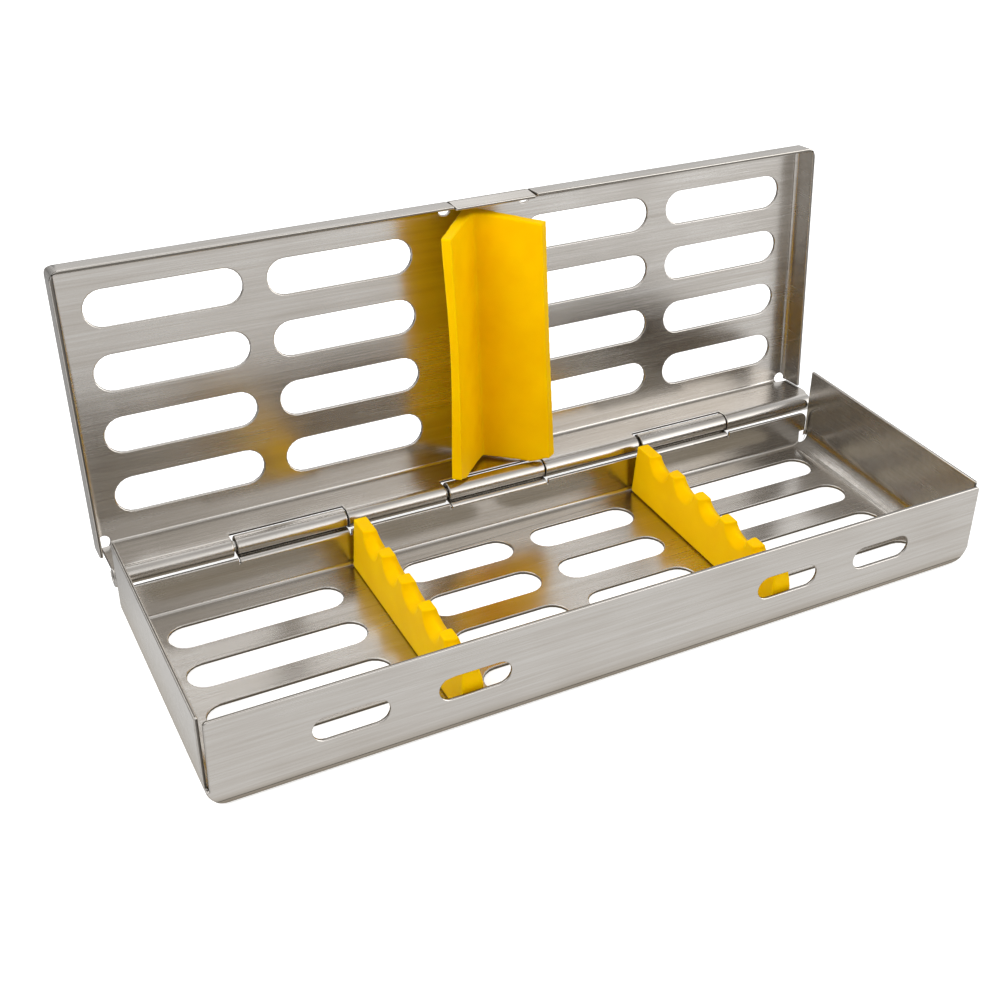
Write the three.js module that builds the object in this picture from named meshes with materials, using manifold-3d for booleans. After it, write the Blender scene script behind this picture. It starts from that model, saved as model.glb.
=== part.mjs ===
// Five-instrument sterilization box: a folded steel tray and lid on a barrel hinge, with moulded silicone inserts.
// Millimetres, +Z up, the front faces -Y. The origin is the middle of the tray's underside, which rests on the table.
import * as THREE from "three";
import { mergeVertices } from "three/addons/utils/BufferGeometryUtils.js";
import ManifoldModule from "manifold-3d";

const wasm = await ManifoldModule();
wasm.setup();

// Sheet and tray
const SHEET = 0.8;
const TRAY_LENGTH = 180;
const TRAY_DEPTH = 61.9;
const TRAY_HEIGHT = 21.3;
const SIDE_BEND = 6;
const FRONT_BEND = 1.8;
const FRONT_WALL_DROP = 0.7;
const FRONT_CORNER = 0.8;
const REAR_WALL_TOP = 9.87;
const REAR_WALL_GAP = 0.5;
const REAR_CORNER_BEND = 2;
const LEFT_SEAM_TOP = 1.2;
const LEFT_SEAM_FOOT = 0.8;
const RIGHT_SEAM = 0.3;
const SEAM_GAP = 0.45;
const SEAM_END = 4.6;
const RELIEF_RADIUS = 1.1;

// Openings in the tray: four rows of slots, broken by a bridge in the middle and by the two lands under the rails
const ROWS = 4;
const SLOT_WIDTH = 8.07;
const FRONT_LAND = 5.395;
const REAR_LAND = 6.295;
const SIDE_LAND = 6.9;
const BRIDGE = 5.4;
const RAIL_LAND = 14.7;
const RAIL_LAND_SHARE = 0.2064;
const FRONT_SLOT_WIDTH = 5.35;
const FRONT_SLOT_LENGTH = 15.4;
const FRONT_SLOT_SHIFT = 0.6;
const FRONT_SLOT_HEIGHT_SHARE = 0.5085;
const FRONT_SLOT_SHARES = [-0.3461, -0.205, 0.205, 0.3461];

// Hinge
const HINGE_OVERHANG = 2.63;
const HINGE_RISE = 1.37;
const ROLL_RADIUS = 2.3;
const PIN_RADIUS = 1.25;
const PIN_INSET = 0.7;
const WALL_BEND = 0.7;
const TRAY_CURL_END = 208;
const LID_CURL_END = 375;
const KNUCKLE_EDGE_SHARES = [-0.3564, -0.2127, -0.0761, 0.0654, 0.2135, 0.3557];
const LEFT_KNUCKLE_GAP = 0.8;
const RIGHT_KNUCKLE_GAP = 0.25;
const KNUCKLE_SLIT = 0.3;

// Lid, in its own frame: the hinge axis is the origin, u runs back along the flange and w up the open panel
const LID_LEAN = 4.575;
const LID_TOP_GAP = 0.3;
const LID_FRONT_GAP = 0.77;
const LID_SIDE_GAP = 0.7;
const RIM_SHARE = 0.5945;
const LID_SIDE_BEND = 2.2;
const LID_FRONT_BEND = 3.2;
const FLANGE_BEND = 1.5;
const FLANGE_INSET = 0.7;
const FLANGE_SHIFT = 0.6;
const RIM_START = 0.3;
const LID_RELIEF_RADIUS = 1.4;
const CORNER_CURVE = 6;
const FLANGE_CUT = 2.6;
const LID_ROW_START = 10.45;
const LID_SIDE_LAND = 6.17;
const LID_BRIDGE = 5.28;
const LID_MIDDLE_LAND = 28.14;

// Catch tab in the lid's front rim
const TAB_ENDS = [-5.7, 14.2];
const TAB_SLIT = 0.35;
const TAB_HOLE_RADIUS = 1.5;
const TAB_HOLE_INSET = 2.15;
const TAB_PRESS = 0.45;

// Instrument rails
const RAIL_SHIFTS = [0.95, 0.15];
const RAIL_FRONT_GAP = 0.55;
const RAIL_BACK_GAP = 0.95;
const RAIL_TOP = 14.4;
const RAIL_FOOT = 4.9;
const RAIL_CREST_LEFT = 2.3;
const RAIL_CREST_RIGHT = 0.8;
const RAIL_SHOULDER_RIGHT = 2.3;
const RAIL_SHOULDER_Z = 8.3;
const RAIL_BACK_SLANT = 1.6;
const SEATS = 5;
const SEAT_START = 4.75;
const SEAT_END = 11.45;
const SEAT_RADIUS = 3.5;
const SEAT_FLARE = 0.9;
const FIT_GAP = 0.25;
const PEG_RADIUS = 1.5;
const PEG_RECESS = 0.15;
const RAIL_PEG_SHARES = [0.061, 0.496, 0.93];

// Hold-down bar
const BAR_APEX = 1.4;
const BAR_HALF = 12.7;
const BAR_ARM = 3;
const BAR_HEIGHT = 13;
const BAR_FOOT_V = 0.6;
const BAR_TOP_INSET = 2.7;
const BAR_TIP_INSET = 4.4;
const BAR_FOOT_TIP_V = 1.9;
const BAR_FOOT_RISE = 0.2;
const BAR_FOOT_RUN = 1;
const BAR_FOOT_SLANT = 1.8;
const BAR_PEG_SHARES = [0.125, 0.494, 0.862];

// Places that follow from the sizes above
const AXIS_Y = TRAY_DEPTH / 2 + HINGE_OVERHANG;
const AXIS_Z = REAR_WALL_TOP + HINGE_RISE;
const PIN_HALF = TRAY_LENGTH / 2 - PIN_INSET;
const REAR_WALL_HALF = TRAY_LENGTH / 2 - SHEET - REAR_WALL_GAP;
const ROW_PITCH = (TRAY_DEPTH - FRONT_LAND - REAR_LAND - SLOT_WIDTH) / (ROWS - 1);
const FLANGE = TRAY_HEIGHT + LID_TOP_GAP - AXIS_Z;
const RIM = FLANGE * RIM_SHARE;
const LID_REACH = AXIS_Y + TRAY_DEPTH / 2 + LID_FRONT_GAP + SHEET - ROLL_RADIUS;
const LID_WIDTH = TRAY_LENGTH + 2 * (SHEET + LID_SIDE_GAP);
const FLANGE_LEFT = FLANGE_SHIFT + FLANGE_INSET - LID_WIDTH / 2;
const FLANGE_RIGHT = FLANGE_SHIFT - FLANGE_INSET + LID_WIDTH / 2;
const RAIL_FRONT = SHEET + RAIL_FRONT_GAP - TRAY_DEPTH / 2;
const RAIL_BACK = TRAY_DEPTH / 2 - SHEET - RAIL_BACK_GAP;
const RAIL_XS = [
  RAIL_SHIFTS[0] - TRAY_LENGTH * RAIL_LAND_SHARE,
  RAIL_SHIFTS[1] + TRAY_LENGTH * RAIL_LAND_SHARE,
];

const OVERRUN = 2;
const ARC_STEPS = 10;
const ROUND_STEPS = 32;
const RIGHT_ANGLE = Math.PI / 2;

function material(colour, roughness, metalness) {
  return new THREE.MeshStandardMaterial({ color: colour, roughness: roughness, metalness: metalness });
}

function solid(geometry) {
  const clean = geometry.clone();
  clean.deleteAttribute("normal");
  clean.deleteAttribute("uv");
  const merged = mergeVertices(clean, 1e-5);
  const mesh = new wasm.Mesh({
    numProp: 3,
    vertProperties: new Float32Array(merged.attributes.position.array),
    triVerts: new Uint32Array(merged.index.array),
  });
  return new wasm.Manifold(mesh);
}

function geometryOf(body) {
  const mesh = body.getMesh();
  const geometry = new THREE.BufferGeometry();
  geometry.setAttribute("position", new THREE.BufferAttribute(new Float32Array(mesh.vertProperties), 3));
  geometry.setIndex(new THREE.BufferAttribute(new Uint32Array(mesh.triVerts), 1));
  const flat = geometry.toNonIndexed();
  flat.computeVertexNormals();
  return flat;
}

function shapeOf(points) {
  return new THREE.Shape(points.map((p) => new THREE.Vector2(p[0], p[1])));
}

function arc(cx, cy, radius, fromDegrees, toDegrees, steps) {
  const points = [];
  for (let i = 0; i <= steps; i += 1) {
    const angle = THREE.MathUtils.degToRad(fromDegrees + ((toDegrees - fromDegrees) * i) / steps);
    points.push([cx + radius * Math.cos(angle), cy + radius * Math.sin(angle)]);
  }
  return points;
}

function extrude(shape, depth) {
  return new THREE.ExtrudeGeometry(shape, { depth: depth, bevelEnabled: false, steps: 1 });
}

// A profile drawn in (y, z), drawn out along x from x0 to x1
function alongX(points, x0, x1) {
  const geometry = extrude(shapeOf(points), x1 - x0);
  const place = new THREE.Matrix4().makeBasis(
    new THREE.Vector3(0, 1, 0), new THREE.Vector3(0, 0, 1), new THREE.Vector3(1, 0, 0));
  geometry.applyMatrix4(place);
  geometry.translate(x0, 0, 0);
  return solid(geometry);
}

// A profile drawn in (x, z), drawn out along y from y0 to y1
function alongY(points, y0, y1) {
  const geometry = extrude(shapeOf(points), y1 - y0);
  geometry.rotateX(RIGHT_ANGLE);
  geometry.translate(0, y1, 0);
  return solid(geometry);
}

// A profile drawn in (x, y), drawn out along z from z0 to z1
function alongZ(points, z0, z1) {
  const geometry = extrude(shapeOf(points), z1 - z0);
  geometry.translate(0, 0, z0);
  return solid(geometry);
}

function box(x0, x1, y0, y1, z0, z1) {
  return alongZ([[x0, y0], [x1, y0], [x1, y1], [x0, y1]], z0, z1);
}

function obround(x0, x1, centre, width) {
  const radius = width / 2;
  const right = arc(x1 - radius, centre, radius, -90, 90, ARC_STEPS);
  const left = arc(x0 + radius, centre, radius, 90, 270, ARC_STEPS);
  return right.concat(left);
}

function circle(cx, cy, radius) {
  return arc(cx, cy, radius, 0, 360, ROUND_STEPS).slice(0, ROUND_STEPS);
}

// An open-topped outline with two rounded lower corners
function trough(a0, a1, low, high, radius) {
  const left = arc(a0 + radius, low + radius, radius, 180, 270, ARC_STEPS);
  const right = arc(a1 - radius, low + radius, radius, 270, 360, ARC_STEPS);
  return left.concat(right, [[a1, high], [a0, high]]);
}

// A strip of sheet between two radii of the same arc
function bent(cx, cy, inner, outer, fromDegrees, toDegrees, steps) {
  const outside = arc(cx, cy, outer, fromDegrees, toDegrees, steps);
  const inside = arc(cx, cy, inner, toDegrees, fromDegrees, steps);
  return outside.concat(inside);
}

function trayBlank() {
  const half = TRAY_LENGTH / 2;
  const front = -TRAY_DEPTH / 2;
  const back = TRAY_DEPTH / 2;
  const open = TRAY_HEIGHT + OVERRUN;
  const outer = alongY(trough(-half, half, 0, TRAY_HEIGHT, SIDE_BEND), front, back)
    .intersect(alongX(trough(front, back, 0, TRAY_HEIGHT, FRONT_BEND), -half, half));
  const inner = alongY(trough(-half + SHEET, half - SHEET, SHEET, open, SIDE_BEND - SHEET), front, back)
    .intersect(alongX(trough(front + SHEET, back - SHEET, SHEET, open, FRONT_BEND - SHEET), -half, half));
  return outer.subtract(inner);
}

function rearWallCut() {
  const inside = TRAY_DEPTH / 2 - SHEET - FIT_GAP;
  const outside = TRAY_DEPTH / 2 + OVERRUN;
  const half = TRAY_LENGTH / 2 - SHEET;
  const high = TRAY_HEIGHT + OVERRUN;
  const r = REAR_CORNER_BEND;
  const right = arc(REAR_WALL_HALF - r, REAR_WALL_TOP - r, r, 0, 90, ARC_STEPS).reverse();
  const left = right.map((p) => [-p[0], p[1]]).reverse();
  const low = SEAM_END - REAR_WALL_GAP;
  const edge = left.concat(right);
  const outline = edge.concat([[REAR_WALL_HALF, low], [half, low], [half, high], [-half, high]],
    [[-half, low], [-REAR_WALL_HALF, low]]);
  return alongY(outline, inside, outside);
}

// Everything around the front wall goes: it is lower than the side walls, which stop behind it
function frontWallCut() {
  const front = -TRAY_DEPTH / 2;
  const half = TRAY_LENGTH / 2;
  const top = TRAY_HEIGHT - FRONT_WALL_DROP;
  const r = FRONT_CORNER;
  const leftX = LEFT_SEAM_TOP - half;
  const rightX = half - RIGHT_SEAM;
  const left = arc(leftX + r, top - r, r, 180, 90, ARC_STEPS);
  const right = arc(rightX - r, top - r, r, 90, 0, ARC_STEPS);
  const foot = [[rightX, SEAM_END - OVERRUN], [LEFT_SEAM_FOOT - half, SEAM_END - OVERRUN]];
  const wall = alongY(left.concat(right, foot), front - OVERRUN, front + SHEET);
  const around = box(-half - OVERRUN, half + OVERRUN, front - OVERRUN / 2, front + SHEET + SEAM_GAP,
    SEAM_END, TRAY_HEIGHT + OVERRUN);
  return around.subtract(wall);
}

function cornerReliefs() {
  const y = TRAY_DEPTH / 2 - SHEET;
  const x = TRAY_LENGTH / 2 - SHEET - RELIEF_RADIUS;
  return [-x, x].map((cx) => alongZ(circle(cx, y, RELIEF_RADIUS), -OVERRUN, SEAM_END));
}

// The four slots of a row, as pairs of ends: each half has one on either side of its land
function rowOfSlots(outer, land, landWidth, inner) {
  const near = land - landWidth / 2;
  const far = land + landWidth / 2;
  return [[-outer, -far], [-near, -inner], [inner, near], [far, outer]];
}

function floorSlots() {
  const cuts = [];
  const ends = rowOfSlots(TRAY_LENGTH / 2 - SIDE_LAND, TRAY_LENGTH * RAIL_LAND_SHARE, RAIL_LAND, BRIDGE / 2);
  for (let row = 0; row < ROWS; row += 1) {
    const y = FRONT_LAND + SLOT_WIDTH / 2 - TRAY_DEPTH / 2 + ROW_PITCH * row;
    for (const slot of ends) {
      cuts.push(alongZ(obround(slot[0], slot[1], y, SLOT_WIDTH), -OVERRUN, SHEET + OVERRUN));
    }
  }
  return cuts;
}

function frontSlots() {
  const front = -TRAY_DEPTH / 2;
  const z = TRAY_HEIGHT * FRONT_SLOT_HEIGHT_SHARE;
  return FRONT_SLOT_SHARES.map((share) => {
    const x = TRAY_LENGTH * share + FRONT_SLOT_SHIFT;
    const outline = obround(x - FRONT_SLOT_LENGTH / 2, x + FRONT_SLOT_LENGTH / 2, z, FRONT_SLOT_WIDTH);
    return alongY(outline, front - OVERRUN, front + SHEET + OVERRUN);
  });
}

function railPegYs() {
  return RAIL_PEG_SHARES.map((share) => RAIL_FRONT + (RAIL_BACK - RAIL_FRONT) * share);
}

function pegHoles() {
  const cuts = [];
  for (const x of RAIL_XS) {
    for (const y of railPegYs()) {
      cuts.push(alongZ(circle(x, y, PEG_RADIUS + FIT_GAP), -OVERRUN, SHEET + OVERRUN));
    }
  }
  return cuts;
}

function knuckleEdges() {
  return KNUCKLE_EDGE_SHARES.map((share) => TRAY_LENGTH * share);
}

function trayKnuckles() {
  const edges = knuckleEdges();
  const runs = [];
  for (let i = 0; i < edges.length; i += 2) {
    runs.push([edges[i] + LEFT_KNUCKLE_GAP / 2, edges[i + 1] - RIGHT_KNUCKLE_GAP / 2]);
  }
  return runs;
}

// The rear wall bends back under the pin and curls up behind it, over it and down its front
function trayKnuckle(ends) {
  const outerY = TRAY_DEPTH / 2;
  const innerR = ROLL_RADIUS - SHEET;
  const low = AXIS_Z - ROLL_RADIUS;
  const bendY = outerY - SHEET / 2 + WALL_BEND;
  const bendZ = low + SHEET / 2 - WALL_BEND;
  const tight = WALL_BEND - SHEET / 2;
  const wide = WALL_BEND + SHEET / 2;
  const outside = arc(bendY, bendZ, tight, 180, 90, ARC_STEPS / 2)
    .concat(arc(AXIS_Y, AXIS_Z, ROLL_RADIUS, 270, 270 + 90 + TRAY_CURL_END, ROUND_STEPS));
  const inside = arc(AXIS_Y, AXIS_Z, innerR, 270 + 90 + TRAY_CURL_END, 270, ROUND_STEPS)
    .concat(arc(bendY, bendZ, wide, 90, 180, ARC_STEPS / 2));
  const foot = [[outerY - SHEET, bendZ - WALL_BEND], [outerY, bendZ - WALL_BEND]];
  return alongX(outside.concat(inside, foot), ends[0], ends[1]);
}

function knuckleRoom(ends) {
  const y0 = TRAY_DEPTH / 2 - SHEET - FIT_GAP;
  const y1 = TRAY_DEPTH / 2 + FIT_GAP;
  const z0 = AXIS_Z - ROLL_RADIUS + SHEET / 2 - WALL_BEND;
  return box(ends[0] - KNUCKLE_SLIT, ends[1] + KNUCKLE_SLIT, y0, y1, z0, TRAY_HEIGHT);
}

function trayGeometry() {
  let body = trayBlank().subtract(rearWallCut()).subtract(frontWallCut());
  for (const cut of cornerReliefs().concat(floorSlots(), frontSlots(), pegHoles())) {
    body = body.subtract(cut);
  }
  for (const ends of trayKnuckles()) {
    body = body.subtract(knuckleRoom(ends)).add(trayKnuckle(ends));
  }
  return geometryOf(body);
}

function pinGeometry() {
  const geometry = new THREE.CylinderGeometry(PIN_RADIUS, PIN_RADIUS, PIN_HALF * 2, ROUND_STEPS);
  geometry.rotateZ(RIGHT_ANGLE);
  geometry.translate(0, AXIS_Y, AXIS_Z);
  return geometry;
}

// Lid parts are built on the hinge axis, upright, and then leaned back and set on the axis
function placeLidPart(body) {
  const geometry = geometryOf(body);
  geometry.rotateX(THREE.MathUtils.degToRad(-LID_LEAN));
  geometry.translate(0, AXIS_Y, AXIS_Z);
  return geometry;
}

// A profile drawn in (x, u), drawn out along w
function alongW(points, w0, w1) {
  return alongZ(points, w0, w1);
}

// A profile drawn in (x, w), drawn out along u
function alongU(points, u0, u1) {
  return alongY(points, u0, u1);
}

// The lid's side view, filled: panel at the back, flange below, front rim on top, open in front
function lidSide(inset, front) {
  const back = FLANGE + SHEET - inset;
  const low = ROLL_RADIUS - SHEET + inset;
  const high = ROLL_RADIUS + LID_REACH - inset;
  const foot = FLANGE_BEND - inset;
  const top = LID_FRONT_BEND - inset;
  return [[front, low]].concat(
    arc(back - foot, low + foot, foot, 270, 360, ARC_STEPS),
    arc(back - top, high - top, top, 0, 90, ARC_STEPS),
    [[front, high]]);
}

function lidPlan(inset, front) {
  const half = LID_WIDTH / 2 - inset;
  const back = FLANGE + SHEET - inset;
  const r = LID_SIDE_BEND - inset;
  return [[-half, front]].concat(
    [[half, front]],
    arc(half - r, back - r, r, 0, 90, ARC_STEPS),
    arc(-half + r, back - r, r, 90, 180, ARC_STEPS));
}

function lidBlank() {
  const half = LID_WIDTH / 2;
  const edge = FLANGE - RIM;
  const low = ROLL_RADIUS - SHEET;
  const high = ROLL_RADIUS + LID_REACH;
  const outer = alongX(lidSide(0, edge), -half, half)
    .intersect(alongW(lidPlan(0, edge), low, high));
  const inner = alongX(lidSide(SHEET, edge - OVERRUN), -half + SHEET, half - SHEET)
    .intersect(alongW(lidPlan(SHEET, edge - OVERRUN), low + SHEET, high - SHEET));
  return outer.subtract(inner);
}

// A thin slit parts the side rims from the flange, with a round relief where the folds would meet
function flangeCorners() {
  const cuts = [];
  const inner = LID_WIDTH / 2 - LID_SIDE_BEND;
  const outer = LID_WIDTH / 2 + OVERRUN;
  const back = FLANGE + SHEET + OVERRUN;
  const fold = FLANGE + SHEET - FLANGE_BEND;
  const slitTop = ROLL_RADIUS + RIM_START;
  const reliefW = ROLL_RADIUS - SHEET + FLANGE_BEND;
  for (const run of [[-outer, -inner], [inner, outer]]) {
    cuts.push(box(run[0], run[1], -OVERRUN, back, ROLL_RADIUS, slitTop));
    cuts.push(box(run[0], run[1], fold, back, -OVERRUN, slitTop));
  }
  for (const run of [[-outer, FLANGE_LEFT], [FLANGE_RIGHT, outer]]) {
    cuts.push(box(run[0], run[1], -OVERRUN, back, -OVERRUN, slitTop));
  }
  for (const x of [-inner, inner]) {
    cuts.push(alongU(circle(x, reliefW, LID_RELIEF_RADIUS), fold, back));
  }
  return cuts;
}

// Where the flange's front edge meets its curved right end
function flangeFrontRight() {
  const start = FLANGE_CUT + SHEET / 2;
  return FLANGE_RIGHT - CORNER_CURVE + Math.sqrt(CORNER_CURVE ** 2 - start ** 2);
}

// The flange's forward part, which runs on into the rolled knuckles
function flangeFront() {
  const low = ROLL_RADIUS - SHEET;
  const r = CORNER_CURVE;
  const start = FLANGE_CUT + SHEET / 2;
  const sweep = THREE.MathUtils.radToDeg(Math.asin(start / r));
  const right = arc(FLANGE_RIGHT - r, start, r, 0, -sweep, ARC_STEPS);
  const back = FLANGE - RIM + SHEET;
  let body = alongZ([[FLANGE_RIGHT, back]].concat(right, [[FLANGE_LEFT, 0], [FLANGE_LEFT, back]]), low, ROLL_RADIUS);
  for (const ends of knuckleGaps()) {
    body = body.subtract(box(ends[0], ends[1], -OVERRUN, FLANGE_CUT, 0, ROLL_RADIUS + OVERRUN));
  }
  return body;
}

function lidKnuckles() {
  const edges = knuckleEdges();
  const runs = [[FLANGE_LEFT, edges[0] - LEFT_KNUCKLE_GAP / 2]];
  for (let i = 1; i < edges.length - 1; i += 2) {
    runs.push([edges[i] + RIGHT_KNUCKLE_GAP / 2, edges[i + 1] - LEFT_KNUCKLE_GAP / 2]);
  }
  runs.push([edges[edges.length - 1] + RIGHT_KNUCKLE_GAP / 2, flangeFrontRight()]);
  return runs;
}

function knuckleGaps() {
  const runs = lidKnuckles();
  const gaps = [];
  for (let i = 1; i < runs.length; i += 1) {
    gaps.push([runs[i - 1][1], runs[i][0]]);
  }
  return gaps;
}

function lidKnuckle(ends) {
  return alongX(bent(0, 0, ROLL_RADIUS - SHEET, ROLL_RADIUS, 90, LID_CURL_END, ROUND_STEPS), ends[0], ends[1]);
}

function barPegWs() {
  return BAR_PEG_SHARES.map((share) => ROLL_RADIUS + LID_REACH * share);
}

function lidCuts() {
  const cuts = [];
  const u0 = FLANGE - OVERRUN;
  const u1 = FLANGE + SHEET + OVERRUN;
  const outer = LID_WIDTH / 2 - LID_SIDE_LAND;
  const inner = LID_MIDDLE_LAND / 2;
  for (let row = 0; row < ROWS; row += 1) {
    const w = ROLL_RADIUS + LID_ROW_START + ROW_PITCH * row;
    for (const slot of rowOfSlots(outer, (outer + inner) / 2, LID_BRIDGE, inner)) {
      cuts.push(alongU(obround(slot[0], slot[1], w, SLOT_WIDTH), u0, u1));
    }
  }
  for (const w of barPegWs()) {
    cuts.push(alongU(circle(0, w, PEG_RADIUS + FIT_GAP), u0, u1));
  }
  return cuts;
}

// The catch tab stands between two slits that end in round reliefs in the fold
function tabCuts() {
  const cuts = [];
  const high = ROLL_RADIUS + LID_REACH;
  for (const x of TAB_ENDS) {
    const hole = circle(x, high - TAB_HOLE_INSET, TAB_HOLE_RADIUS);
    cuts.push(alongU(hole, FLANGE - LID_FRONT_BEND, FLANGE + SHEET + OVERRUN));
    const w0 = high - SHEET - OVERRUN;
    cuts.push(box(x - TAB_SLIT / 2, x + TAB_SLIT / 2, 0, FLANGE - SHEET, w0, high + OVERRUN));
  }
  const straight = FLANGE + SHEET - LID_FRONT_BEND;
  cuts.push(box(TAB_ENDS[0], TAB_ENDS[1], 0, straight, high - SHEET - OVERRUN, high + OVERRUN));
  return cuts;
}

function tabPlate() {
  const high = ROLL_RADIUS + LID_REACH;
  const edge = FLANGE - RIM;
  const root = FLANGE + SHEET - LID_FRONT_BEND;
  const lap = root + SHEET / 2;
  const outline = [
    [lap, high - SHEET], [lap, high], [root, high],
    [edge, high - TAB_PRESS], [edge, high - TAB_PRESS - SHEET], [root, high - SHEET],
  ];
  return alongX(outline, TAB_ENDS[0] + TAB_SLIT / 2, TAB_ENDS[1] - TAB_SLIT / 2);
}

function lidGeometry() {
  let body = lidBlank();
  for (const cut of flangeCorners()) {
    body = body.subtract(cut);
  }
  body = body.add(flangeFront());
  for (const ends of lidKnuckles()) {
    body = body.add(lidKnuckle(ends));
  }
  for (const cut of lidCuts().concat(tabCuts())) {
    body = body.subtract(cut);
  }
  return placeLidPart(body.add(tabPlate()));
}

// A V channel on its point, its ends bevelled and its lower corners cut back to swing past the tray's rear wall
function barGeometry() {
  const seat = FLANGE - FIT_GAP;
  const tip = FLANGE - BAR_HEIGHT;
  const slope = (BAR_HALF - BAR_APEX) / (seat - tip);
  const vertex = tip + (BAR_HALF - BAR_ARM) / slope;
  const high = ROLL_RADIUS + LID_REACH;
  const section = [
    [-BAR_APEX, seat], [BAR_APEX, seat], [BAR_HALF, tip], [BAR_HALF - BAR_ARM, tip],
    [0, vertex], [BAR_ARM - BAR_HALF, tip], [-BAR_HALF, tip],
  ];
  const side = [
    [seat, ROLL_RADIUS + BAR_FOOT_V], [seat, high - BAR_TOP_INSET], [tip, high - BAR_TIP_INSET],
    [tip, ROLL_RADIUS + BAR_FOOT_TIP_V + BAR_FOOT_RISE], [tip + BAR_FOOT_RUN, ROLL_RADIUS + BAR_FOOT_TIP_V],
    [tip + BAR_FOOT_RUN + BAR_FOOT_SLANT, ROLL_RADIUS + BAR_FOOT_V],
  ];
  let body = alongW(section, 0, high)
    .intersect(alongX(side, -BAR_HALF, BAR_HALF));
  for (const w of barPegWs()) {
    body = body.add(alongU(circle(0, w, PEG_RADIUS), seat - FIT_GAP, FLANGE + SHEET - PEG_RECESS));
  }
  return placeLidPart(body);
}

// A round cutter across the rail, waisted in the middle, so that the seat falls away towards both faces
function seatCutter(x, y) {
  const half = RAIL_FOOT / 2 + FIT_GAP;
  const profile = [new THREE.Vector2(0, -half)];
  for (let i = 0; i <= ARC_STEPS; i += 1) {
    const along = -half + (2 * half * i) / ARC_STEPS;
    const share = along / half;
    profile.push(new THREE.Vector2(SEAT_RADIUS + SEAT_FLARE * share * share, along));
  }
  profile.push(new THREE.Vector2(0, half));
  const geometry = new THREE.LatheGeometry(profile, ROUND_STEPS);
  geometry.rotateZ(-RIGHT_ANGLE);
  geometry.translate(x, y, RAIL_TOP);
  return solid(geometry);
}

function seatYs() {
  const pitch = (RAIL_BACK - RAIL_FRONT - SEAT_START - SEAT_END) / (SEATS - 1);
  return Array.from({ length: SEATS }, (unused, i) => RAIL_FRONT + SEAT_START + pitch * i);
}

function railGeometry(x) {
  const foot = SHEET + FIT_GAP;
  const top = [[RAIL_BACK - RAIL_BACK_SLANT, RAIL_TOP], [RAIL_FRONT + FIT_GAP, RAIL_TOP]];
  const section = [
    [x - RAIL_FOOT / 2, foot], [x + RAIL_FOOT / 2, foot], [x + RAIL_SHOULDER_RIGHT, RAIL_SHOULDER_Z],
    [x + RAIL_CREST_RIGHT, RAIL_TOP], [x - RAIL_CREST_LEFT, RAIL_TOP],
  ];
  const side = [[RAIL_FRONT, foot], [RAIL_BACK, foot]].concat(top);
  let body = alongY(section, RAIL_FRONT, RAIL_BACK)
    .intersect(alongX(side, x - RAIL_FOOT, x + RAIL_FOOT));
  for (const y of seatYs()) {
    body = body.subtract(seatCutter(x, y));
  }
  for (const y of railPegYs()) {
    body = body.add(alongZ(circle(x, y, PEG_RADIUS), PEG_RECESS, foot + FIT_GAP));
  }
  return geometryOf(body);
}

function piece(name, geometry, look) {
  const mesh = new THREE.Mesh(geometry, look);
  mesh.name = name;
  return mesh;
}

const steel = [0xb9b4ac, 0.34, 1];
const silicone = [0xf0c30a, 0.42, 0];

const group = new THREE.Group();
group.name = "sterilization_box";
group.add(piece("tray", trayGeometry(), material(...steel)));
group.add(piece("lid", lidGeometry(), material(...steel)));
group.add(piece("hinge_pin", pinGeometry(), material(...steel)));
group.add(piece("rail_left", railGeometry(RAIL_XS[0]), material(...silicone)));
group.add(piece("rail_right", railGeometry(RAIL_XS[1]), material(...silicone)));
group.add(piece("hold_down_bar", barGeometry(), material(...silicone)));

export default group;
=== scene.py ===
# The five-instrument sterilization box, open: steel tray and lid, yellow silicone rails and hold-down bar.
import math

import bmesh
import bpy
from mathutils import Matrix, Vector
from mathutils.bvhtree import BVHTree


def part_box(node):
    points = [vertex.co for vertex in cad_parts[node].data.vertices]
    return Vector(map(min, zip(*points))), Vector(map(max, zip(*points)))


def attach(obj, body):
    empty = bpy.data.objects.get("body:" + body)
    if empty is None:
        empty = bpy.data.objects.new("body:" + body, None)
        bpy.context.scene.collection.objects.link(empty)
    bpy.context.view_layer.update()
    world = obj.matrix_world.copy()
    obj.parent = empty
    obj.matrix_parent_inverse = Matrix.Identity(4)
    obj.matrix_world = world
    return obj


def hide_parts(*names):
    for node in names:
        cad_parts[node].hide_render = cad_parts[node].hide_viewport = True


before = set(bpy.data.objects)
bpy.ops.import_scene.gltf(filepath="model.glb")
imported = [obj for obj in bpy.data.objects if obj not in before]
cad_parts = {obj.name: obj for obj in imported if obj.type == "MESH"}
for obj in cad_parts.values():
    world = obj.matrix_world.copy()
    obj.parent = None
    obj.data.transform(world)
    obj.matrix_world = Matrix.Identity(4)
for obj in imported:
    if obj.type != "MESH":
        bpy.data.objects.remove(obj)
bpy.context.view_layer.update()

MM = 0.001

# The camera, solved from the slots and edges of the photograph
CAMERA_PLACE = (-126.80 * MM, -222.46 * MM, 185.58 * MM)
CAMERA_TURN = (58.817, -1.381, -28.263)
FOCAL_PIXELS = 1410.35
PICTURE_PIXELS = 1000
CENTRE_PIXEL = (555.38, 474.75)
SENSOR = 36
CLIP = (0.01, 50)

# Sizes taken from the frame
TRAY_LOW, TRAY_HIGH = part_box("tray")
BOX_SPAN = TRAY_HIGH[0] - TRAY_LOW[0]

# The hinge axis and the lid's lean in the photograph
AXIS = (0, 33.58 * MM, 11.24 * MM)
LID_LEAN = 4.575

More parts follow.
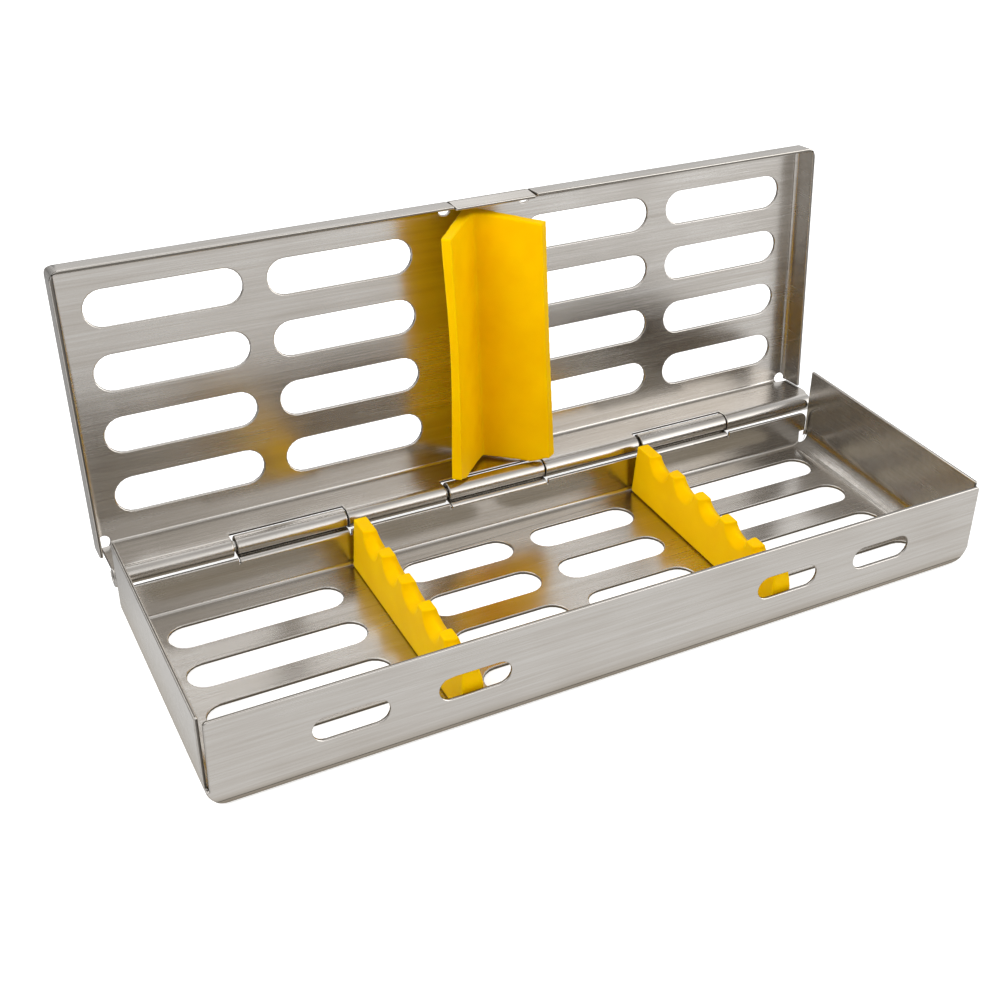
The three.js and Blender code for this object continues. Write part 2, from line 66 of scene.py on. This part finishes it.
# The flange's cut edge behind the axis: where the solid has it, how high it stands, and where it goes
FLANGE_CUT = 2.6 * MM
FLANGE_CUT_BAND = 0.05 * MM
FLANGE_RISE = (1.4 * MM, 2.4 * MM)
FLANGE_EDGE = 2.08 * MM

# The lid's upper rim corners
RIM_CORNER = 2.4 * MM
CORNER_STEPS = 6
LID_DEPTH = 11.2 * MM

# The sheet, its broken edges, and its cut faces, which take painted shade
STEEL_NODES = ("tray", "lid", "hinge_pin")
SHEET_THICKNESS = 0.8 * MM
SHEET_EDGE = 0.26 * MM
SHARP_BEND = 40
SHEET_SMOOTH = 35
FLAT_BEND = 0.4
BROKEN_SLOT = 1
# Broken edges with other metal closer than this gap get painted shade
NARROW_GAP = 1.3 * MM
# The face mark that carries painted shade on cut faces and on broken edges in narrow gaps
CUT_SHADE_MARK = "cut"
CUT_DEPTH = 1.25 * SHEET_THICKNESS
WELD = 0.002 * MM
STEP_IN = 0.02 * MM

# The silicone mouldings
SILICONE_GRAIN = 0.24 * MM
SILICONE_SOFTENING = 7
SILICONE_SMOOTH = 60

# The rails' seats
SEAT_DEPTH = 5 * MM
SEAT_RIDGE_SHARE = 0.62
SEAT_BOWL_POWER = 1.3
CREST_BAND = 0.1 * MM

# The hold-down bar: its valley, its arms' tips and the arms' stand to either side
VALLEY_RADIUS = 1.6 * MM
VALLEY_FILL_SHARE = 0.7
VALLEY_FACING = (-0.2, 0.5)
ARM_WAY = (0.656, 0.755)
TIP_RUN = 4 * MM
RIGHT_STAND = 0.3 * MM
RIGHT_FLARE = 1.2 * MM
LEFT_STAND = 0.2 * MM
LEFT_WAVE = 0.8 * MM
LEFT_TUCK = 0.5 * MM
WAVE_END_SHARE = 0.9
FLARE_POWER = 1.5
TUCK_POWER = 8

# Noise: its usual range, and how many grains a metre has along and across the brushing
NOISE_RANGE = (0.3, 0.7)
STREAKS = (60, 4200)
LINES = (30, 1800)
BANDS = (14, 700)
PATCHES = (45, 70)
TURNING = (5000, 400)
CLOUD_GRAINS = 120
CLOUD_RANGE = (0.35, 0.65)
SILICONE_GRAINS = 2600
TABLE_GRAINS = 40

# Colours
STEEL_DARK = (0.41, 0.375, 0.33)
STEEL_LIGHT = (0.63, 0.61, 0.585)
# Painted shade: the dark colour of cut faces and of broken edges in narrow gaps
CUT_SHADE_COLOUR = (0.15, 0.137, 0.12)
PIN_COLOUR = (0.56, 0.54, 0.5)
YELLOW_DARK = (0.93, 0.53, 0)
YELLOW_LIGHT = (0.98, 0.58, 0)
YELLOW_SHINE = (1, 0.75, 0.1)
YELLOW_DEPTH = (2.5, 1.1, 0.1)
TABLE_DARK = (0.86, 0.86, 0.86)
TABLE_LIGHT = (0.88, 0.88, 0.88)
WARM_SHADE = (1, 0.9, 0.74)
WHITE = (1, 1, 1)

# Roughness, lowest and highest, and how much rougher a cut face is
STEEL_ROUGHNESS = (0.21, 0.27)
CUT_ROUGHER = 0.12
PIN_ROUGHNESS = (0.2, 0.32)
SILICONE_ROUGHNESS = (0.4, 0.5)

# The table: its own glow, and the tray's shade on it as the steel mirrors it
TABLE_REACH = 40 * BOX_SPAN
TABLE_GLOW = 0.55
SHADE = 0.4
SHADE_SIDES = (89 * MM, 94 * MM)
SHADE_FRONT = (-30.5 * MM, -35 * MM)
LEFT_TABLE = (-89 * MM, -94 * MM, 1, 0.84)
FAR_TABLE = (-60 * MM, -160 * MM, 1, 0.95)
BEHIND_TABLE = (30 * MM, 70 * MM, 1, 0.55)

# The room that the steel mirrors: turn from straight behind, rise and strength of each panel of light
SOFT_ROOM = 0.7
ROOM_GLOW = 0.06
PANEL_SHARPNESS = 6
ROOM_PANELS = [
    (135, 0, 3.9), (150, 30, 0.4), (95, 0, 0.9),
    (-120, 30, 0.35), (30, 30, 0.7), (0, 32, 0.15),
    (-60, 60, 1.1), (0, 60, 1.25), (-120, 60, 0.4)]

# Lamps: name, place, side and strength
LAMP_AIM = (0, 0, 0.02)
LAMPS = [("key", (-0.75, -0.1, 0.75), 0.7, 6), ("fill", (0.7, -0.5, 0.7), 0.6, 3)]


class Wire:
    """A node's socket that takes part in sums as a number does."""

    def __init__(self, finish, socket):
        self.finish = finish
        self.socket = socket

    def maths(self, operation, *values):
        return self.finish.node("ShaderNodeMath", {"operation": operation}, *values)

    def output(self, name):
        return Wire(self.finish, self.socket.node.outputs[name])

    def __add__(self, other):
        return self.maths("ADD", self, other)

    def __sub__(self, other):
        return self.maths("SUBTRACT", self, other)

    def __rsub__(self, other):
        return self.maths("SUBTRACT", other, self)

    def __mul__(self, other):
        return self.maths("MULTIPLY", self, other)

    def __truediv__(self, other):
        return self.maths("DIVIDE", self, other)

    def __pow__(self, other):
        return self.maths("POWER", self, other)

    __radd__ = __add__
    __rmul__ = __mul__


class Finish:
    """The nodes of a material, or of the world."""

    def __init__(self, owner):
        owner.use_nodes = True
        self.tree = owner.node_tree
        self.tree.nodes.clear()

    def node(self, kind, settings=None, *values, out=0, **named):
        made = self.tree.nodes.new(kind)
        for key, value in (settings or {}).items():
            setattr(made, key, value)
        for index, value in enumerate(values):
            self.feed(made.inputs[index], value)
        for name, value in named.items():
            self.feed(made.inputs[name.replace("_", " ")], value)
        return Wire(self, made.outputs[out]) if made.outputs else None

    def feed(self, socket, value):
        if isinstance(value, Wire):
            self.tree.links.new(value.socket, socket)
        else:
            socket.default_value = value

    def noise(self, grains_xyz, detail=3, roughness=0.5):
        where = self.node("ShaderNodeTexCoord", out="Object")
        scaled = self.node("ShaderNodeMapping", None, Vector=where, Scale=grains_xyz)
        return self.node("ShaderNodeTexNoise", {"normalize": True}, Vector=scaled,
                         Scale=1, Detail=detail, Roughness=roughness)

    def drawn_out(self, grains, detail=2):
        """Noise with its own count of grains along x."""
        along, across = grains
        return self.noise((along, across, across), detail)

    def even(self, grains, detail=3, roughness=0.5):
        return self.noise((grains, grains, grains), detail, roughness)

    def spread(self, value, low, high, new_low, new_high):
        return self.node("ShaderNodeMapRange", None, value, low, high, new_low, new_high)

    def about(self, noise, new_low, new_high):
        """The noise's usual range spread over a new one."""
        return self.spread(noise, *NOISE_RANGE, new_low, new_high)

    def mix(self, factor, first, second):
        return self.node("ShaderNodeMix", {"data_type": "RGBA"}, out=2, Factor=factor, A=first, B=second)

    def tint(self, factor, dark, light):
        return self.mix(factor, (*dark, 1), (*light, 1))


class Rule(Finish):
    """A Geometry Nodes tree with named inputs."""

    def __init__(self, name, kinds):
        self.tree = bpy.data.node_groups.new(name, "GeometryNodeTree")
        self.tree.interface.new_socket("Geometry", in_out="OUTPUT", socket_type="NodeSocketGeometry")
        for title, kind in {"Geometry": "Geometry", **kinds}.items():
            self.tree.interface.new_socket(title, in_out="INPUT", socket_type="NodeSocket" + kind)
        self.given = self.node("NodeGroupInput")

    def over(self, body, chosen, value):
        """The least and greatest value over the chosen points, read with output()."""
        return self.node("GeometryNodeAttributeStatistic", None, body, chosen, value)

    def close(self, body):
        """Ends the tree: instances made real and the material set."""
        real = self.node("GeometryNodeRealizeInstances", None, body)
        dressed = self.node("GeometryNodeSetMaterial", None, real, Material=self.given.output("Material"))
        self.node("NodeGroupOutput", None, dressed)

    def put_on(self, piece, values):
        modifier = piece.modifiers.new(self.tree.name, "NODES")
        modifier.node_group = self.tree
        for item in self.tree.interface.items_tree:
            if item.in_out == "INPUT" and item.name in values:
                modifier[item.identifier] = values[item.name]


def new_finish(name):
    material = bpy.data.materials.new(name)
    return material, Finish(material)


def brushed_steel():
    """Satin sheet with fine lines along it, faint warm patches, and painted shade on the faces where it was
    cut and on broken edges in narrow gaps.
    """
    material, f = new_finish("brushed_steel")
    facing = f.node("ShaderNodeTexCoord", out="Normal")
    sideways = f.node("ShaderNodeSeparateXYZ", None, facing)
    on_side = f.spread(sideways.maths("ABSOLUTE", sideways), 0.45, 0.55, 0, 1)
    long, fine = STREAKS
    streaks = (f.noise((long, fine, fine), detail=2) * (1 - on_side)
               + f.noise((fine, long, fine), detail=2) * on_side)
    patches = f.drawn_out(PATCHES, detail=3)
    # Painted shade: marked faces take the dark cut colour
    cut = f.node("ShaderNodeAttribute", {"attribute_name": CUT_SHADE_MARK}, out="Fac")
    tone = (f.about(streaks, -0.12, 0.12) + f.about(f.drawn_out(BANDS), -0.12, 0.12)
            + f.about(f.drawn_out(LINES, detail=3), -0.1, 0.1) + f.about(patches, 0.38, 0.62))
    colour = f.mix(cut, f.tint(tone, STEEL_DARK, STEEL_LIGHT), (*CUT_SHADE_COLOUR, 1))
    rough = f.about(patches, *STEEL_ROUGHNESS) + f.about(streaks, -0.03, 0.03) + cut * CUT_ROUGHER
    bump = f.node("ShaderNodeBump", None, Height=streaks, Strength=0.03, Distance=0.05 * MM)
    shader = f.node("ShaderNodeBsdfPrincipled", None,
                    Base_Color=colour, Metallic=1, Roughness=rough, Normal=bump)
    f.node("ShaderNodeOutputMaterial", None, Surface=shader)
    return material


def polished_pin():
    """Bright pin with the marks of turning round it."""
    material, f = new_finish("pin_steel")
    rough = f.about(f.drawn_out(TURNING), *PIN_ROUGHNESS)
    shader = f.node("ShaderNodeBsdfPrincipled", None,
                    Base_Color=(*PIN_COLOUR, 1), Metallic=1, Roughness=rough)
    f.node("ShaderNodeOutputMaterial", None, Surface=shader)
    return material


def yellow_silicone():
    """Dull yellow silicone that lets a little light in."""
    material, f = new_finish("yellow_silicone")
    cloud = f.spread(f.even(CLOUD_GRAINS), *CLOUD_RANGE, 0, 1)
    grain = f.even(SILICONE_GRAINS, roughness=0.6)
    bump = f.node("ShaderNodeBump", None, Height=grain, Strength=0.1, Distance=0.03 * MM)
    shader = f.node("ShaderNodeBsdfPrincipled", None, Base_Color=f.tint(cloud, YELLOW_DARK, YELLOW_LIGHT),
                    Roughness=f.about(grain, *SILICONE_ROUGHNESS), Normal=bump,
                    Specular_IOR_Level=0.08, Specular_Tint=(*YELLOW_SHINE, 1),
                    Subsurface_Weight=0.25, Subsurface_Radius=YELLOW_DEPTH, Subsurface_Scale=1 * MM)
    f.node("ShaderNodeOutputMaterial", None, Surface=shader)
    return material


def linked(name, data):
    """A new object in the scene."""
    made = bpy.data.objects.new(name, data)
    bpy.context.scene.collection.objects.link(made)
    return made


def copy_of(node, name):
    """A merged copy of a CAD node's mesh, in the same place."""
    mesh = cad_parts[node].data.copy()
    mesh.name = name
    work = bmesh.new()
    work.from_mesh(mesh)
    bmesh.ops.remove_doubles(work, verts=work.verts, dist=WELD)
    work.to_mesh(mesh)
    work.free()
    return linked(name, mesh)


def settled(piece):
    """Turns the piece and its modifiers into a plain mesh."""
    graph = bpy.context.evaluated_depsgraph_get()
    mesh = bpy.data.meshes.new_from_object(piece.evaluated_get(graph))
    piece.modifiers.clear()
    piece.data = mesh
    return mesh


def finished(piece, material, smooth_below):
    """Applies the modifiers, sets the material and smooths the faces that meet at a small angle."""
    mesh = settled(piece)
    mesh.materials.clear()
    mesh.materials.append(material)
    for polygon in mesh.polygons:
        polygon.use_smooth = True
        polygon.material_index = 0
    mesh.set_sharp_from_angle(angle=math.radians(smooth_below))


def tree_of(meshes):
    """A search tree over the faces of some meshes."""
    places, faces = [], []
    for mesh in meshes:
        start = len(places)
        places += [vertex.co for vertex in mesh.vertices]
        faces += [[corner + start for corner in polygon.vertices] for polygon in mesh.polygons]
    return BVHTree.FromPolygons(places, faces)


def mark_shaded_cut_faces(mesh):
    """Marks the faces across the sheet for painted shade: the metal behind them is deeper than the sheet is
    thick.
    """
    sheet = tree_of([mesh])
    marks = mesh.attributes.new(CUT_SHADE_MARK, "FLOAT", "FACE").data
    mesh.calc_loop_triangles()
    largest = {}
    for triangle in mesh.loop_triangles:
        if triangle.area > largest.get(triangle.polygon_index, (0, None))[0]:
            largest[triangle.polygon_index] = (triangle.area, triangle.center.copy())
    for index, (_, centre) in largest.items():
        inward = -mesh.polygons[index].normal
        depth = sheet.ray_cast(centre + inward * STEP_IN, inward)[3]
        marks[index].value = 1 if depth is None or depth > CUT_DEPTH else 0


def from_lid(x, u, w):
    """A place given in the lid's own frame: u runs back along the flange and w up the open panel."""
    turn = math.radians(LID_LEAN)
    y = AXIS[1] + u * math.cos(turn) + w * math.sin(turn)
    return Vector((x, y, AXIS[2] - u * math.sin(turn) + w * math.cos(turn)))


def in_lid(place):
    """The reverse of from_lid."""
    turn = math.radians(LID_LEAN)
    y, z = place.y - AXIS[1], place.z - AXIS[2]
    return Vector((place.x, y * math.cos(turn) - z * math.sin(turn), y * math.sin(turn) + z * math.cos(turn)))


def close_flange(places):
    """The flange's cut edges stand close behind the tray's knuckles, so no light shows between them."""
    low, high = FLANGE_RISE
    for vertex, (x, u, w) in places.items():
        if abs(u - FLANGE_CUT) < FLANGE_CUT_BAND and low < w < high:
            vertex.co = from_lid(x, FLANGE_EDGE, w)


def corner_cutter(side, half, high):
    """A bar along u that rounds one upper corner of the rim."""
    r = RIM_CORNER
    beyond = 2 * r
    outline = [(half + beyond, high - r), (half + beyond, high + beyond), (half - r, high + beyond)]
    for step in range(CORNER_STEPS + 1):
        turn = math.pi / 2 * (1 - step / CORNER_STEPS)
        outline.append((half - r + r * math.cos(turn), high - r + r * math.sin(turn)))
    if side < 0:
        outline = [(-x, w) for x, w in reversed(outline)]
    count = len(outline)
    points = [from_lid(x, u, w) for u in (-beyond, LID_DEPTH + beyond) for x, w in outline]
    faces = [tuple(range(count)), tuple(reversed(range(count, 2 * count)))]
    faces += [(i + count, (i + 1) % count + count, (i + 1) % count, i) for i in range(count)]
    mesh = bpy.data.meshes.new("corner cutter")
    mesh.from_pydata(points, [], faces)
    return linked("corner cutter", mesh)


def shape_lid(piece):
    """Rounds the rim's upper corners and closes the light gaps behind the tray's knuckles."""
    places = {vertex: in_lid(vertex.co) for vertex in piece.data.vertices}
    half = max(place.x for place in places.values())
    high = max(place.z for place in places.values())
    close_flange(places)
    for side in (-1, 1):
        cutter = corner_cutter(side, half, high)
        cut = piece.modifiers.new("corner", "BOOLEAN")
        cut.operation = "DIFFERENCE"
        cut.solver = "EXACT"
        cut.object = cutter
        settled(piece)
        bpy.data.objects.remove(cutter)


def break_edges(piece, material):
    """Bevels the sheet's sharp edges. The second material slot tells the bevel's faces from the rest."""
    for _ in range(BROKEN_SLOT + 1):
        piece.data.materials.append(material)
    edge = piece.modifiers.new("broken edges", "BEVEL")
    edge.material = BROKEN_SLOT
    edge.width = SHEET_EDGE
    edge.segments = 2
    edge.limit_method = "ANGLE"
    edge.angle_limit = math.radians(SHARP_BEND)
    edge.use_clamp_overlap = False
    return settled(piece)


def polish_and_shade_broken_edges(mesh, sharp, around):
    """The broken edges stay close to the sharp sheet and shine as it does, but for those in a narrow gap,
    which get painted shade.
    """
    for vertex in mesh.vertices:
        nearest, *_, distance = sharp.find_nearest(vertex.co)
        if distance > SHEET_EDGE / 2:
            vertex.co = nearest
    marks = mesh.attributes[CUT_SHADE_MARK].data
    for polygon in mesh.polygons:
        if polygon.material_index == BROKEN_SLOT:
            # Painted shade on broken edges that face other metal close by
            start = polygon.center + polygon.normal * SHEET_EDGE
            across = around.ray_cast(start, polygon.normal, NARROW_GAP)[0]
            marks[polygon.index].value = 1 if across else 0


def folded_sheet(node, name, body, material, around, reshape=None):
    """A sheet part: the CAD solid with broken edges, its flat faces kept flat and its cut faces marked for
    painted shade.
    """
    piece = copy_of(node, name)
    work = bmesh.new()
    work.from_mesh(piece.data)
    bmesh.ops.dissolve_limit(work, angle_limit=math.radians(FLAT_BEND), verts=work.verts, edges=work.edges)
    work.to_mesh(piece.data)
    work.free()
    if reshape:
        reshape(piece)
    mark_shaded_cut_faces(piece.data)
    sharp = tree_of([piece.data])
    polish_and_shade_broken_edges(break_edges(piece, material), sharp, around)
    finished(piece, material, SHEET_SMOOTH)
    even = piece.modifiers.new("flat faces", "WEIGHTED_NORMAL")
    even.mode = "FACE_AREA"
    even.weight = 100
    even.keep_sharp = True
    settled(piece)
    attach(piece, body)
    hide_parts(node)


def saddle_rule():
    """A rail's seats fall away from a low ridge in their middle to a deep bowl in either face."""
    rule = Rule("saddle seats", {
        "Seat Depth": "Float", "Ridge Share": "Float", "Bowl Power": "Float",
        "Crest Band": "Float", "Material": "Material"})
    body = rule.given
    seat_depth, ridge = body.output("Seat Depth"), body.output("Ridge Share")
    x = rule.node("ShaderNodeSeparateXYZ", None, rule.node("GeometryNodeInputPosition"))
    y, z = x.output("Y"), x.output("Z")
    top = rule.over(body, True, z).output("Max")
    on_crest = z.maths("GREATER_THAN", z, top - body.output("Crest Band"))
    foot, crest = rule.over(body, True, x), rule.over(body, on_crest, x)
    depth = top - z
    spread = depth / seat_depth
    left = crest.output("Min") + (foot.output("Min") - crest.output("Min")) * spread
    right = crest.output("Max") + (foot.output("Max") - crest.output("Max")) * spread
    off_middle = (x - left) / (right - left) * 2 - 1
    share = x.maths("MINIMUM", off_middle.maths("ABSOLUTE", off_middle), 1)
    fallen = top - depth * (ridge + (1 - ridge) * share ** body.output("Bowl Power"))
    in_seat = depth.maths("LESS_THAN", depth, seat_depth)
    place = rule.node("ShaderNodeCombineXYZ", None, x, y, fallen)
    rule.close(rule.node("GeometryNodeSetPosition", None, body, in_seat, place))
    return rule


def saddle_seats(piece, material):
    saddle_rule().put_on(piece, {
        "Seat Depth": SEAT_DEPTH, "Ridge Share": SEAT_RIDGE_SHARE, "Bowl Power": SEAT_BOWL_POWER,
        "Crest Band": CREST_BAND, "Material": material})


def arm_stand(side, down):
    """How far the edge of an arm stands to the right of its place, by its share of the way down."""
    if side > 0:
        return RIGHT_STAND + RIGHT_FLARE * down ** FLARE_POWER
    wave = math.sin(math.pi * min(1, down / WAVE_END_SHARE)) ** FLARE_POWER
    return LEFT_STAND + LEFT_WAVE * wave - LEFT_TUCK * down ** TUCK_POWER


def soft_arms(piece, material):
    """The bar's arms meet in a round valley, reach out at their tips and wave a little."""
    mesh = settled(piece)
    low = [min(v.co[axis] for v in mesh.vertices) for axis in range(3)]
    high = [max(v.co[axis] for v in mesh.vertices) for axis in range(3)]
    half = high[0]
    lean = math.tan(math.radians(LID_LEAN))
    forward_facing, flat_facing = VALLEY_FACING
    out, forward = ARM_WAY
    for vertex, normal in zip(mesh.vertices, [n.vector.copy() for n in mesh.vertex_normals]):
        x = vertex.co.x
        side = math.copysign(1, x)
        down = (high[2] - vertex.co.z) / (high[2] - low[2])
        if normal.y < forward_facing and abs(normal.z) < flat_facing:
            vertex.co.y -= (math.sqrt(x * x + VALLEY_RADIUS ** 2) - abs(x)) * VALLEY_FILL_SHARE
        tip = low[1] + (vertex.co.z - low[2]) * lean
        near = max(0, 1 - max(0, vertex.co.y - tip) / TIP_RUN)
        grow = max(0, (half - abs(x)) * out) * near if abs(x) > half / 2 else 0
        vertex.co.x += side * grow * out
        vertex.co.y -= grow * forward
        vertex.co.x += (abs(x) / half) ** 2 * arm_stand(side, down)


def moulding(node, name, body, material, shape):
    """A silicone moulding: the CAD solid with its edges softened as a mould leaves them."""
    piece = copy_of(node, name)
    fine = piece.modifiers.new("fine", "REMESH")
    fine.mode = "VOXEL"
    fine.voxel_size = SILICONE_GRAIN
    shape(piece, material)
    soft = piece.modifiers.new("soft", "SMOOTH")
    soft.factor = 0.5
    soft.iterations = SILICONE_SOFTENING
    finished(piece, material, SILICONE_SMOOTH)
    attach(piece, body)
    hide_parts(node)


def pale_table():
    """White, with soft shadows, to the camera. The steel mirrors it with the shade under the tray."""
    material, f = new_finish("white_table")
    seen = f.node("ShaderNodeLightPath", out="Is Camera Ray")
    mirrored = f.node("ShaderNodeLightPath", out="Is Glossy Ray")
    white = f.tint(f.even(TABLE_GRAINS), TABLE_DARK, TABLE_LIGHT)
    lit = f.node("ShaderNodeBsdfDiffuse", None, Color=white)
    glow = f.node("ShaderNodeEmission", None, Color=(*WHITE, 1), Strength=seen * TABLE_GLOW)
    both = f.node("ShaderNodeAddShader", None, lit, glow)
    x = f.node("ShaderNodeSeparateXYZ", None, f.node("ShaderNodeTexCoord", out="Object"))
    y = x.output("Y")
    sides = f.spread(x.maths("ABSOLUTE", x), *SHADE_SIDES, 0, 1)
    clear = sides.maths("MAXIMUM", sides, f.spread(y, *SHADE_FRONT, 0, 1))
    radiance = ((SHADE + (1 - SHADE) * clear) * f.spread(y, *FAR_TABLE) * f.spread(y, *BEHIND_TABLE)
                * f.spread(x, *LEFT_TABLE))
    mirror = f.node("ShaderNodeEmission", None, Color=f.tint(clear, WARM_SHADE, WHITE), Strength=radiance)
    shown = f.node("ShaderNodeMixShader", None, mirrored, both, mirror)
    f.node("ShaderNodeOutputMaterial", None, Surface=shown)
    return material


def table():
    """A wide flat table that the box stands on."""
    reach = TABLE_REACH
    mesh = bpy.data.meshes.new("table")
    corners = [(-reach, -reach, 0), (reach, -reach, 0), (reach, reach, 0), (-reach, reach, 0)]
    mesh.from_pydata(corners, [], [(0, 1, 2, 3)])
    mesh.materials.append(pale_table())
    surface = linked("table", mesh)


def studio_world():
    """A white sweep to the camera; to the steel, a room with a few wide panels of light."""
    world = bpy.data.worlds.new("studio")
    bpy.context.scene.world = world
    f = Finish(world)
    camera_sees = f.node("ShaderNodeLightPath", out="Is Camera Ray")
    steel_mirrors = f.node("ShaderNodeLightPath", out="Is Glossy Ray")
    direction = f.node("ShaderNodeTexCoord", out="Generated")
    glow = ROOM_GLOW
    for turn, rise, strength in ROOM_PANELS:
        turn, rise = math.radians(turn), math.radians(rise)
        toward = (math.sin(turn) * math.cos(rise), math.cos(turn) * math.cos(rise), math.sin(rise))
        nearness = f.node("ShaderNodeVectorMath", {"operation": "DOT_PRODUCT"},
                          direction, toward, out="Value")
        falling = (nearness - 1) * PANEL_SHARPNESS
        glow = glow + falling.maths("EXPONENT", falling) * strength
    room = f.node("ShaderNodeBackground", None, (*WHITE, 1), glow)
    soft = f.node("ShaderNodeBackground", None, (*WHITE, 1), SOFT_ROOM)
    white = f.node("ShaderNodeBackground", None, (*WHITE, 1), 1)
    lit = f.node("ShaderNodeMixShader", None, steel_mirrors, soft, room)
    mixed = f.node("ShaderNodeMixShader", None, camera_sees, lit, white)
    f.node("ShaderNodeOutputWorld", None, Surface=mixed)


def soft_light(name, place, side, strength):
    lamp = bpy.data.lights.new(name, "AREA")
    lamp.shape = "RECTANGLE"
    lamp.size, lamp.size_y = side, side
    lamp.energy = strength
    box = linked(name, lamp)
    box.location = place
    box.rotation_euler = (Vector(LAMP_AIM) - Vector(place)).to_track_quat("-Z", "Y").to_euler()
    box.visible_glossy = False


def camera():
    lens = bpy.data.cameras.new("camera")
    lens.sensor_width = SENSOR
    lens.lens = SENSOR * FOCAL_PIXELS / PICTURE_PIXELS
    lens.shift_x = (PICTURE_PIXELS / 2 - CENTRE_PIXEL[0]) / PICTURE_PIXELS
    lens.shift_y = (CENTRE_PIXEL[1] - PICTURE_PIXELS / 2) / PICTURE_PIXELS
    lens.clip_start, lens.clip_end = CLIP
    eye = linked("camera", lens)
    eye.location = CAMERA_PLACE
    eye.rotation_euler = [math.radians(turn) for turn in CAMERA_TURN]
    bpy.context.scene.camera = eye


camera()
bpy.context.scene.view_settings.view_transform = "Standard"
studio_world()
table()
for name, place, side, strength in LAMPS:
    soft_light(name, place, side, strength)

steel = brushed_steel()
silicone = yellow_silicone()
steel_at_rest = tree_of([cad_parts[node].data for node in STEEL_NODES])
folded_sheet("tray", "tray_sheet", "tray", steel, steel_at_rest)
folded_sheet("lid", "lid_sheet", "lid", steel, steel_at_rest, shape_lid)
moulding("rail_left", "rail_left_moulding", "tray", silicone, saddle_seats)
moulding("rail_right", "rail_right_moulding", "tray", silicone, saddle_seats)
moulding("hold_down_bar", "hold_down_moulding", "lid", silicone, soft_arms)
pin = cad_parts["hinge_pin"]
pin.data.materials.clear()
pin.data.materials.append(polished_pin())
